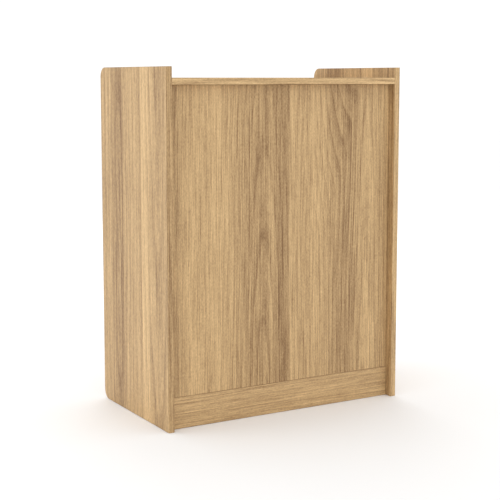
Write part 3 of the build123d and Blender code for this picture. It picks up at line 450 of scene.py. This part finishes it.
def board_material(node, grain, across, seed):
    """The oak laminate of one board, fitted to its size."""
    lowest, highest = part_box(node)
    low, high = lowest[AXIS[across]], highest[AXIS[across]]
    along_low, along_high = lowest[AXIS[grain]], highest[AXIS[grain]]
    ring_width = RING_WIDTH
    if node == "back_panel":
        strips, hearts = BACK_STRIPS_AND_SHADE, BACK_HEARTS
    elif node == "back_kick_rail":
        strips, hearts = [(low, KICK_TONE), (high, KICK_TONE)], KICK_HEARTS
    elif node.startswith("side_panel"):
        strips, hearts = SIDE_STRIPS, SIDE_HEARTS
        ring_width = SIDE_RING_WIDTH
    else:
        strips = even_strips(low, high, seed)
        hearts = even_hearts(low, high, along_low, along_high, seed)
    edge_tone = EDGE_TONES.get(node, 0.0)
    return oak("oak_" + node, grain, across, (lowest, highest), strips, hearts, ring_width, edge_tone, seed)


# ---- Other materials --------------------------------------------------------------------------------

# Each finish: its darker and its lighter colour.
BEECH = ((0.50, 0.34, 0.19), (0.66, 0.49, 0.31))
BEECH_FLECK = (0.30, 0.18, 0.09)
STEEL = ((0.42, 0.42, 0.41), (0.66, 0.66, 0.65))
ZINC = ((0.46, 0.47, 0.49), (0.72, 0.73, 0.74))
NICKEL = ((0.48, 0.45, 0.41), (0.76, 0.73, 0.68))
NYLON = ((0.58, 0.57, 0.53), (0.72, 0.71, 0.67))
RUBBER = ((0.018, 0.018, 0.018), (0.045, 0.045, 0.045))
FERRITE = ((0.035, 0.035, 0.040), (0.085, 0.085, 0.090))
FELT = ((0.030, 0.040, 0.052), (0.115, 0.140, 0.165))
FELT_DUST = (0.060, 0.070, 0.080)
PAD_CLOTH = ((0.010, 0.016, 0.030), (0.075, 0.105, 0.165))

# Along and across the lines of brushed steel, in cells per metre.
BRUSH_ALONG = 14.0
BRUSH_ACROSS = 1400.0
WEAVE_PITCH = 2.4 * MM
# Edges with a sharper turn than this stay crisp.
SHARP_ANGLE = math.radians(32)


def beech():
    """Bare planed beech: pale, with short dark flecks."""
    tree = Tree("beech")
    point = tree.place()
    long_grain = tree.noise(tree.stretch(point, (160.0, 12.0, 160.0)), detail=3.0)
    spots = tree.noise(tree.stretch(point, (700.0, 120.0, 700.0)), detail=1.0)
    fleck = tree.step(spots, zero_at=0.66, one_at=0.72)
    color = tree.mix(long_grain, *BEECH)
    color = tree.mix(tree.math("MULTIPLY", fleck, 0.5), color, BEECH_FLECK)
    return tree.finish(color, roughness=0.62, normal=tree.bump(long_grain, distance=0.1 * MM, strength=0.5))


def brushed(name, colors, direction):
    """Brushed sheet steel: fine lines along a direction, with faint finger marks."""
    tree = Tree(name)
    point = tree.place()
    scale = [BRUSH_ACROSS] * 3
    scale[AXIS[direction]] = BRUSH_ALONG
    lines = tree.noise(tree.stretch(point, scale), detail=3.0, roughness=0.65)
    smudge = tree.noise(point, scale=16.0, detail=3.0)
    color = tree.mix(tree.weighted((lines, 0.6), (smudge, 0.3)), *colors)
    roughness = tree.weighted((lines, 0.16), (smudge, 0.10), start=0.30)
    return tree.finish(color, roughness, tree.bump(lines, distance=0.02 * MM, strength=0.5), metallic=1.0)


def plated(name, colors, base_roughness):
    """Plated metal: mottled brightness and light handling marks."""
    tree = Tree(name)
    point = tree.place()
    cloud = tree.noise(point, scale=90.0, detail=4.0, roughness=0.6)
    grain = tree.noise(point, scale=1500.0, detail=2.0)
    scratch = tree.noise(tree.stretch(point, (900.0, 60.0, 120.0)), detail=2.0, distortion=0.6)
    worn = tree.step(scratch, zero_at=0.62, one_at=0.74)
    color = tree.mix(tree.weighted((cloud, 0.8), (worn, 0.25)), *colors)
    roughness = tree.weighted((cloud, 0.14), (worn, 0.10), start=base_roughness)
    return tree.finish(color, roughness, tree.bump(grain, distance=0.02 * MM, strength=0.4), metallic=1.0)


def moulded(name, colors, base_roughness, grain_scale):
    """Moulded plastic or rubber with a fine spark texture."""
    tree = Tree(name)
    point = tree.place()
    spark = tree.noise(point, scale=grain_scale, detail=2.0, roughness=0.7)
    cloud = tree.noise(point, scale=70.0, detail=2.0)
    color = tree.mix(tree.weighted((spark, 0.4), (cloud, 0.6)), *colors)
    roughness = tree.weighted((spark, 0.15), start=base_roughness)
    return tree.finish(color, roughness, tree.bump(spark, distance=0.05 * MM, strength=0.6))


def felt():
    """Pressed felt: short fibres lying every way."""
    tree = Tree("felt")
    point = tree.place()
    fibre = tree.noise(point, scale=900.0, detail=4.0, roughness=0.8, distortion=1.2)
    cloud = tree.noise(point, scale=35.0, detail=3.0)
    color = tree.mix(fibre, *FELT)
    color = tree.mix(tree.math("MULTIPLY", cloud, 0.35), color, FELT_DUST)
    roughness = tree.weighted((fibre, 0.1), start=0.88)
    normal = tree.bump(fibre, distance=0.5 * MM, strength=0.9)
    return tree.finish(color, roughness, normal, Sheen_Weight=0.35, Sheen_Roughness=0.5)


def woven(name, colors):
    """A plain-woven cover: crossing yarns over the top and round the sides."""
    tree = Tree(name)
    point = tree.place()
    x, y, z = tree.split(point)
    turn = math.pi / WEAVE_PITCH
    warp = tree.math("SINE", tree.math("MULTIPLY", tree.math("ADD", x, z), turn))
    weft = tree.math("SINE", tree.math("MULTIPLY", tree.math("ADD", y, z), turn))
    over = tree.math("MULTIPLY", warp, weft)
    yarn = tree.math("ABSOLUTE", over)
    slub = tree.noise(tree.stretch(point, (60.0, 420.0, 420.0)), detail=3.0, roughness=0.7)
    cloud = tree.noise(point, scale=9.0, detail=3.0)
    heathered = tree.step(slub, zero_at=0.35, one_at=0.68)
    color = tree.mix(tree.weighted((heathered, 0.60), (yarn, 0.40)), *colors)
    color = tree.mix(tree.math("MULTIPLY", cloud, 0.25), color, colors[0])
    normal = tree.bump(tree.weighted((slub, 0.6), start=over), distance=0.35 * MM, strength=0.8)
    return tree.finish(color, roughness=0.82, normal=normal, Sheen_Weight=0.25, Sheen_Roughness=0.4)


def paint_nodes():
    """Gives every CAD node its material, and returns the finish of each slot but the boards'."""
    finishes = {
        "beech": beech(),
        "zinc": plated("zinc_plate", ZINC, base_roughness=0.26),
        "nickel": plated("nickel_plate", NICKEL, base_roughness=0.16),
        "brushed_steel": brushed("brushed_steel", STEEL, "X"),
        "nylon": moulded("nylon", NYLON, base_roughness=0.55, grain_scale=1100.0),
        "rubber": moulded("rubber", RUBBER, base_roughness=0.70, grain_scale=1100.0),
        "magnet": moulded("ferrite", FERRITE, base_roughness=0.45, grain_scale=600.0),
        "felt": felt(),
        "pad_fabric": woven("pad_weave", PAD_CLOTH),
    }
    upright_steel = brushed("brushed_steel_upright", STEEL, "Z")
    for part in frame["record"]["subparts"]:
        name = part["node"]
        if name in BOARDS:
            material = board_material(name, *BOARDS[name])
        elif name in ("pull_left", "pull_right"):
            material = upright_steel
        else:
            material = finishes[part["material_slot"]]
        mesh = nodes[name].data
        mesh.materials.clear()
        mesh.materials.append(material)
        mesh.shade_smooth()
        mesh.set_sharp_from_angle(angle=SHARP_ANGLE)
    return finishes


finishes = paint_nodes()


# ---- Soft pieces ------------------------------------------------------------------------------------

def new_piece(name, bm, material):
    """A mesh object made from bmesh geometry."""
    mesh = bpy.data.meshes.new(name)
    bm.to_mesh(mesh)
    bm.free()
    mesh.materials.append(material)
    piece = bpy.data.objects.new(name, mesh)
    scene.collection.objects.link(piece)
    return piece


def apply_modifiers(piece):
    """Makes the modifiers' result the piece's own mesh."""
    graph = bpy.context.evaluated_depsgraph_get()
    graph.update()
    mesh = bpy.data.meshes.new_from_object(piece.evaluated_get(graph), depsgraph=graph)
    old = piece.data
    piece.modifiers.clear()
    piece.data = mesh
    bpy.data.meshes.remove(old)


PAD_SHRINK = 4.0 * MM
PAD_CORNER = 30.0 * MM
PAD_CORNER_STEPS = 6
PAD_VOXEL = 7.0 * MM
# The cloth may swell this far, and stays this high over the floor of the cabinet.
PAD_SWELL = 7.0 * MM
PAD_LIFT = 0.3 * MM
PAD_FRAMES = 20
PAD_SMOOTH_PASSES = 6
PAD_SMOOTH_FACTOR = 0.5
PAD_CLOTH_SETTINGS = {
    "quality": 5,
    "mass": 0.3,
    "use_pressure": True,
    "uniform_pressure_force": 4.0,
    "tension_stiffness": 25.0,
    "compression_stiffness": 25.0,
    "bending_stiffness": 1.5,
}


def pad_blank(low, high):
    """The pad before it is puffed: a slab with rounded upright corners, a little smaller than its box."""
    low = low + Vector((PAD_SHRINK, PAD_SHRINK, 0))
    high = high - Vector((PAD_SHRINK, PAD_SHRINK, 2 * PAD_SHRINK))
    centre = (low + high) / 2
    size = high - low
    bm = bmesh.new()
    bmesh.ops.create_cube(bm, size=1.0)
    for vert in bm.verts:
        vert.co = Vector((centre[i] + vert.co[i] * size[i] for i in range(3)))
    upright = [e for e in bm.edges if abs(e.verts[0].co.z - e.verts[1].co.z) > size.z / 2]
    bmesh.ops.bevel(bm, geom=upright, offset=PAD_CORNER, segments=PAD_CORNER_STEPS, affect="EDGES",
                    profile=0.5)
    pad = new_piece("landing_pad_cover", bm, finishes["pad_fabric"])
    remesh = pad.modifiers.new("remesh", "REMESH")
    remesh.mode = "VOXEL"
    remesh.voxel_size = PAD_VOXEL
    apply_modifiers(pad)
    return pad


def puff(pad):
    """Blows the pad up as a cloth bag, without gravity."""
    cloth = pad.modifiers.new("cloth", "CLOTH")
    for key, value in PAD_CLOTH_SETTINGS.items():
        setattr(cloth.settings, key, value)
    cloth.settings.effector_weights.gravity = 0.0
    cloth.point_cache.frame_start = 1
    cloth.point_cache.frame_end = PAD_FRAMES
    for number in range(1, PAD_FRAMES + 1):
        scene.frame_set(number)
    apply_modifiers(pad)
    scene.frame_set(1)


def landing_pad():
    """The foam pad in its sewn cover, puffed by a cloth simulation and kept in its place."""
    low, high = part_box("landing_pad")
    pad = pad_blank(low, high)
    rest = [vert.co.copy() for vert in pad.data.vertices]
    puff(pad)
    for vert, at in zip(pad.data.vertices, rest):
        move = vert.co - at
        if move.length > PAD_SWELL:
            vert.co = at + move.normalized() * PAD_SWELL
        vert.co.z = max(vert.co.z, low.z + PAD_LIFT)
        for axis in (0, 1):
            vert.co[axis] = min(max(vert.co[axis], low[axis]), high[axis])
    smooth = pad.modifiers.new("smooth", "SMOOTH")
    smooth.iterations = PAD_SMOOTH_PASSES
    smooth.factor = PAD_SMOOTH_FACTOR
    subdivision = pad.modifiers.new("subdivision", "SUBSURF")
    subdivision.levels = subdivision.render_levels = 1
    apply_modifiers(pad)
    pad.data.shade_smooth()
    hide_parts("landing_pad")
    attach(pad, "carcass")
    return pad


PIPING_RADIUS = 3.2 * MM
PIPING_POINTS = 240
PIPING_ROUNDNESS = 3
# How far the seams lie under the pad's top and over its foot.
PIPING_DROP = 12.0 * MM
PIPING_RISE = 10.0 * MM


def pad_piping(pad, level, name):
    """The corded seam round the pad, laid on the cover's own surface at one height."""
    low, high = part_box("landing_pad")
    cover = BVHTree.FromPolygons([v.co for v in pad.data.vertices], [p.vertices for p in pad.data.polygons])
    centre = (low + high) / 2
    centre.z = level
    size = high - low
    points = []
    for index in range(PIPING_POINTS):
        # Even steps in angle round an ellipse as long and as wide as the pad.
        turn = index / PIPING_POINTS * math.tau
        direction = Vector((math.cos(turn) * size.x, math.sin(turn) * size.y, 0)).normalized()
        hit = cover.ray_cast(centre, direction)[0]
        if hit is not None:
            points.append(hit)
    curve = bpy.data.curves.new(name, "CURVE")
    curve.dimensions = "3D"
    curve.bevel_depth = PIPING_RADIUS
    curve.bevel_resolution = PIPING_ROUNDNESS
    spline = curve.splines.new("POLY")
    spline.points.add(len(points) - 1)
    spline.use_cyclic_u = True
    for spot, point in zip(spline.points, points):
        spot.co = (*point, 1.0)
    piping = bpy.data.objects.new(name, curve)
    scene.collection.objects.link(piping)
    curve.materials.append(finishes["pad_fabric"])
    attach(piping, "carcass")


FELT_STEP = 6.0 * MM
FELT_THICKNESS = 3.0 * MM
# The underside stays this far off the board.
FELT_LIFT = 0.05 * MM
# The cut edge: its width, how far its upper corner strays, and how much of the width it bulges out.
FELT_RIM = 1.1 * MM
FELT_FUZZ = 0.25 * MM
FELT_BULGE = (0.5, 0.95)
FELT_SEED = 4
# A corner this close to the sheet's side counts as on it.
EDGE_TOLERANCE = 0.1 * MM


def outline(rows):
    """The vertices round the outside of a grid, given as rows, in order."""
    right = [row[-1] for row in rows[1:]]
    left = [row[0] for row in rows[-2:0:-1]]
    return rows[0] + right + rows[-1][-2::-1] + left


def chute_felt():
    """The felt glued on the chute: a thin sheet with soft, slightly uneven cut edges."""
    low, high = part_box("chute_felt")
    faces = nodes["chute_felt"].data.polygons
    up = max((face.normal for face in faces), key=lambda normal: normal.z).copy()
    down_slope = Vector((0, up.z, -up.y))
    top_front = Vector((0, low.y, high.z))
    length = (high.y - low.y - FELT_THICKNESS * up.y) / down_slope.y
    half = (high.x - low.x) / 2
    columns = round(2 * half / FELT_STEP)
    rows = round(length / FELT_STEP)
    draw = random.Random(FELT_SEED)
    bm = bmesh.new()

    def face_rows(depth, fuzz):
        """The vertices of the upper or the lower face, row by row down the slope."""
        verts = []
        for row in range(rows + 1):
            along = FELT_RIM + (length - 2 * FELT_RIM) * row / rows
            stray = draw.uniform(-fuzz, fuzz) if fuzz else 0
            line = []
            for column in range(columns + 1):
                across = -half + FELT_RIM + (2 * half - 2 * FELT_RIM) * column / columns
                point = top_front + down_slope * along - up * depth
                line.append(bm.verts.new(point + Vector((across + stray, 0, 0))))
            verts.append(line)
        return verts

    top = face_rows(0.0, FELT_FUZZ)
    bottom = face_rows(FELT_THICKNESS - FELT_LIFT, 0.0)
    for row in range(rows):
        for column in range(columns):
            for grid in (top, bottom):
                bm.faces.new([grid[row][column], grid[row + 1][column], grid[row + 1][column + 1],
                              grid[row][column + 1]])
    rim_top, rim_low = outline(top), outline(bottom)
    middle = []
    for high_vert, low_vert in zip(rim_top, rim_low):
        outward = Vector((0, 0, 0))
        if abs(abs(low_vert.co.x) - (half - FELT_RIM)) < EDGE_TOLERANCE:
            outward.x = math.copysign(FELT_RIM, low_vert.co.x)
        along = (low_vert.co - top_front + up * FELT_THICKNESS).dot(down_slope)
        if along > length - 3 * FELT_RIM:
            outward += down_slope * FELT_RIM
        halfway = (high_vert.co + low_vert.co) / 2
        middle.append(bm.verts.new(halfway + outward * draw.uniform(*FELT_BULGE)))
    count = len(rim_top)
    for index in range(count):
        after = (index + 1) % count
        bm.faces.new([rim_top[index], rim_top[after], middle[after], middle[index]])
        bm.faces.new([middle[index], middle[after], rim_low[after], rim_low[index]])
    bmesh.ops.recalc_face_normals(bm, faces=bm.faces)
    sheet = new_piece("chute_felt_sheet", bm, finishes["felt"])
    sheet.data.shade_smooth()
    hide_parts("chute_felt")
    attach(sheet, "carcass")


pad = landing_pad()
pad_low, pad_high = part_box("landing_pad")
pad_piping(pad, pad_high.z - PIPING_DROP, "pad_piping_top")
pad_piping(pad, pad_low.z + PIPING_RISE, "pad_piping_foot")
chute_felt()


# ---- Floor, light and camera ------------------------------------------------------------------------

FLOOR_HALF = 15.0
# The floor lies a hair under the cabinet, so that the two never share a plane.
FLOOR_DROP = 0.5 * MM
FLOOR_COLORS = ((0.945, 0.945, 0.945), (0.96, 0.96, 0.96))
SKY_STRENGTH = 1.08
CABINET_CENTRE = Vector((0.0, 0.0, 0.5))

# A fit to the photo: the place in metres, its two angles, and the lens and the sensor in millimetres.
CAMERA_PLACE = (1.789, 3.0607, 0.967)
CAMERA_TURN = math.radians(30.368)
CAMERA_PITCH = math.radians(6.817)
CAMERA_LENS = 85.1
CAMERA_SENSOR = 36.0
CAMERA_SHIFT = -0.06


def floor():
    """A plain white studio floor."""
    tree = Tree("studio_floor")
    cloud = tree.noise(tree.place(), scale=3.0, detail=2.0)
    white = tree.finish(tree.mix(cloud, *FLOOR_COLORS), roughness=0.9)
    bm = bmesh.new()
    bmesh.ops.create_grid(bm, x_segments=1, y_segments=1, size=FLOOR_HALF)
    plane = new_piece("studio_floor", bm, white)
    plane.location.z = -FLOOR_DROP


def world():
    """Even white light from all round."""
    scene.world = bpy.data.worlds.new("studio")
    scene.world.use_nodes = True
    background = scene.world.node_tree.nodes["Background"]
    background.inputs["Color"].default_value = (1.0, 1.0, 1.0, 1.0)
    background.inputs["Strength"].default_value = SKY_STRENGTH


def area_light(name, location, size, power):
    """A square soft box that points at the middle of the cabinet."""
    light = bpy.data.lights.new(name, "AREA")
    light.energy = power
    light.size = size
    lamp = bpy.data.objects.new(name, light)
    lamp.location = location
    lamp.rotation_euler = (CABINET_CENTRE - Vector(location)).to_track_quat("-Z", "Y").to_euler()
    scene.collection.objects.link(lamp)


def camera():
    """The photo's view: behind the cabinet, about as high as its top, on its right-hand side."""
    data = bpy.data.cameras.new("camera")
    data.sensor_width = CAMERA_SENSOR
    data.lens = CAMERA_LENS
    data.shift_y = CAMERA_SHIFT
    view = bpy.data.objects.new("camera", data)
    view.location = CAMERA_PLACE
    level = math.cos(CAMERA_PITCH)
    drop = -math.sin(CAMERA_PITCH)
    forward = Vector((-math.sin(CAMERA_TURN) * level, -math.cos(CAMERA_TURN) * level, drop))
    view.rotation_euler = forward.to_track_quat("-Z", "Y").to_euler()
    scene.collection.objects.link(view)
    scene.camera = view


floor()
world()
area_light("key", location=(3.2, -1.2, 2.2), size=2.0, power=14.0)
area_light("front_fill", location=(-1.5, -3.5, 2.2), size=2.5, power=30.0)
camera()
scene.view_settings.view_transform = "Standard"
